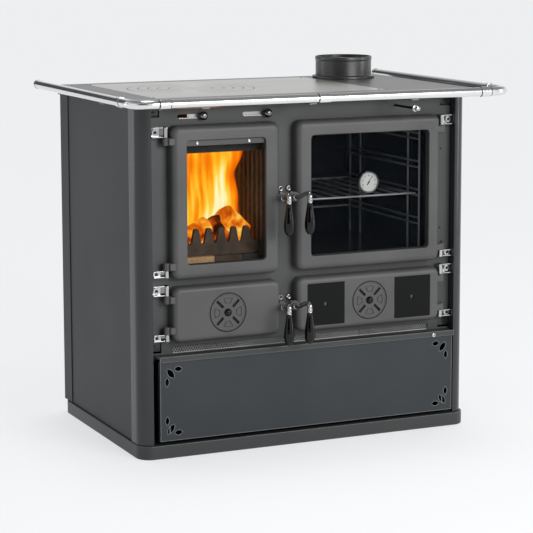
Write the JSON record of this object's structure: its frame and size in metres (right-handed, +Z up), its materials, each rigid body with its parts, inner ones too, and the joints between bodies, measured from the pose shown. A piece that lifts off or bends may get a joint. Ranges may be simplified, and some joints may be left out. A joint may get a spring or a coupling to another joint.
{
  "type": "wood cookstove",
  "caption": "Free-standing wood cookstove with a glass-doored firebox beside a glass-doored oven, ash and soot doors, a wood drawer, a hob with lift-out rings, a flue collar and a towel rail.",
  "frame": {"origin": "on the floor, under the middle of the overall width and depth", "axes": "+X to the right seen from the front, +Y from the doors to the back, +Z up"},
  "size_m": [1.005, 0.7246, 0.918],
  "materials": {
    "casing": "satin anthracite paint",
    "facade": "fine grained matt paint",
    "door_iron": "fine grained stove paint",
    "black_iron": "matt black",
    "lining": "rough, heat browned",
    "steel_top": "brushed",
    "chrome": "polished",
    "pan_steel": "dull",
    "enamel": "gloss enamel",
    "door_glass": "clear",
    "dial_white": "satin white",
    "tile": "black gloss",
    "grip": "black gloss"
  },
  "bodies": {
    "stove": {"plinth": "casing", "left_side_panel": "casing", "right_side_panel": "casing", "rear_casing": "casing", "front_left_column": "casing", "front_right_column": "casing", "facade": "facade", "front_ledge": "facade", "vent_grille": "black_iron", "worktop_frame": "steel_top", "hob_plate": "steel_top", "flue_collar": "black_iron", "rail_front": "chrome", "rail_left": "chrome", "rail_right": "chrome", "lower_chamber": "black_iron", "firebox": "lining", "fire_grate": "black_iron", "log_guard": "black_iron", "oven_liner": "enamel", "oven_rack": "chrome", "fire_hinge_upper": "chrome", "fire_hinge_lower": "chrome", "oven_hinge_upper": "chrome", "oven_hinge_lower": "chrome", "ash_hinge_upper": "chrome", "ash_hinge_lower": "chrome", "soot_hinge_upper": "chrome", "soot_hinge_lower": "chrome"},
    "fire_door": {"fire_door_frame": "door_iron", "fire_door_glass": "door_glass", "fire_glass_clip": "black_iron"},
    "oven_door": {"oven_door_frame": "door_iron", "oven_door_glass": "door_glass", "oven_thermometer": "dial_white"},
    "ash_door": {"ash_door": "door_iron"},
    "soot_door": {"soot_door": "door_iron", "soot_door_tile_left": "tile", "soot_door_tile_right": "tile"},
    "fire_handle": {"fire_handle_arm": "chrome", "fire_handle_grip": "grip"},
    "oven_handle": {"oven_handle_arm": "chrome", "oven_handle_grip": "grip"},
    "ash_handle": {"ash_handle_arm": "chrome", "ash_handle_grip": "grip"},
    "soot_handle": {"soot_handle_arm": "chrome", "soot_handle_grip": "grip"},
    "ash_dial": {"ash_door_dial": "door_iron"},
    "soot_dial": {"soot_door_dial": "door_iron"},
    "ash_pan": {"ash_pan": "pan_steel"},
    "oven_shelf": {"oven_shelf": "chrome"},
    "wood_drawer": {"wood_drawer": "casing"},
    "primary_lever": {"primary_air_lever": "chrome"},
    "secondary_lever": {"secondary_air_lever": "chrome"},
    "bypass": {"bypass_rod": "chrome"},
    "ring_1": {"hob_ring_1": "steel_top"},
    "ring_2": {"hob_ring_2": "steel_top"},
    "ring_3": {"hob_ring_3": "steel_top"},
    "ring_4": {"hob_ring_4": "steel_top"},
    "lid": {"hob_lid": "steel_top"}
  },
  "joints": [
    {"name": "fire_door_hinge", "type": "hinge", "parent": "stove", "child": "fire_door", "pos_m": [-0.36775, -0.22075, 0.6125], "axis": [0, 0, -1], "range_deg": [0, 105]},
    {"name": "oven_door_hinge", "type": "hinge", "parent": "stove", "child": "oven_door", "pos_m": [0.37275, -0.22075, 0.6125], "axis": [0, 0, 1], "range_deg": [0, 105]},
    {"name": "ash_door_hinge", "type": "hinge", "parent": "stove", "child": "ash_door", "pos_m": [-0.36775, -0.22075, 0.345], "axis": [0, 0, -1], "range_deg": [0, 105]},
    {"name": "soot_door_hinge", "type": "hinge", "parent": "stove", "child": "soot_door", "pos_m": [0.37275, -0.22075, 0.345], "axis": [0, 0, 1], "range_deg": [0, 105]},
    {"name": "fire_handle_turn", "type": "hinge", "parent": "fire_door", "child": "fire_handle", "pos_m": [-0.072, -0.23775, 0.6125], "axis": [0, 1, 0], "range_deg": [0, 90]},
    {"name": "oven_handle_turn", "type": "hinge", "parent": "oven_door", "child": "oven_handle", "pos_m": [-0.039, -0.23775, 0.6125], "axis": [0, -1, 0], "range_deg": [0, 90]},
    {"name": "ash_handle_turn", "type": "hinge", "parent": "ash_door", "child": "ash_handle", "pos_m": [-0.072, -0.23775, 0.345], "axis": [0, 1, 0], "range_deg": [0, 90]},
    {"name": "soot_handle_turn", "type": "hinge", "parent": "soot_door", "child": "soot_handle", "pos_m": [-0.039, -0.23775, 0.345], "axis": [0, -1, 0], "range_deg": [0, 90]},
    {"name": "ash_dial_turn", "type": "hinge", "parent": "ash_door", "child": "ash_dial", "pos_m": [-0.2175, -0.23775, 0.343], "axis": [0, -1, 0], "range_deg": [0, 45]},
    {"name": "soot_dial_turn", "type": "hinge", "parent": "soot_door", "child": "soot_dial", "pos_m": [0.1645, -0.23775, 0.343], "axis": [0, -1, 0], "range_deg": [0, 45]},
    {"name": "ash_pan_slide", "type": "slide", "parent": "stove", "child": "ash_pan", "axis": [0, -1, 0], "range_m": [0, 0.18]},
    {"name": "oven_shelf_slide", "type": "slide", "parent": "stove", "child": "oven_shelf", "axis": [0, -1, 0], "range_m": [0, 0.14]},
    {"name": "wood_drawer_slide", "type": "slide", "parent": "stove", "child": "wood_drawer", "axis": [0, -1, 0], "range_m": [0, 0.4]},
    {"name": "primary_air_slide", "type": "slide", "parent": "stove", "child": "primary_lever", "axis": [-1, 0, 0], "range_m": [0, 0.058]},
    {"name": "secondary_air_slide", "type": "slide", "parent": "stove", "child": "secondary_lever", "axis": [-1, 0, 0], "range_m": [0, 0.058]},
    {"name": "bypass_slide", "type": "slide", "parent": "stove", "child": "bypass", "axis": [0, 1, 0], "range_m": [0, 0.07]},
    {"name": "ring_1_lift", "type": "slide", "parent": "stove", "child": "ring_1", "axis": [0, 0, 1], "range_m": [0, 0.15]},
    {"name": "ring_2_lift", "type": "slide", "parent": "ring_1", "child": "ring_2", "axis": [0, 0, 1], "range_m": [0, 0.15]},
    {"name": "ring_3_lift", "type": "slide", "parent": "ring_2", "child": "ring_3", "axis": [0, 0, 1], "range_m": [0, 0.15]},
    {"name": "ring_4_lift", "type": "slide", "parent": "ring_3", "child": "ring_4", "axis": [0, 0, 1], "range_m": [0, 0.15]},
    {"name": "lid_lift", "type": "slide", "parent": "ring_4", "child": "lid", "axis": [0, 0, 1], "range_m": [0, 0.15]}
  ],
  "couplings": [
    {"joint": "ash_pan_slide", "follows": "ash_door_hinge", "m_per_rad": 0.095},
    {"joint": "oven_shelf_slide", "follows": "oven_door_hinge", "m_per_rad": 0.072}
  ]
}
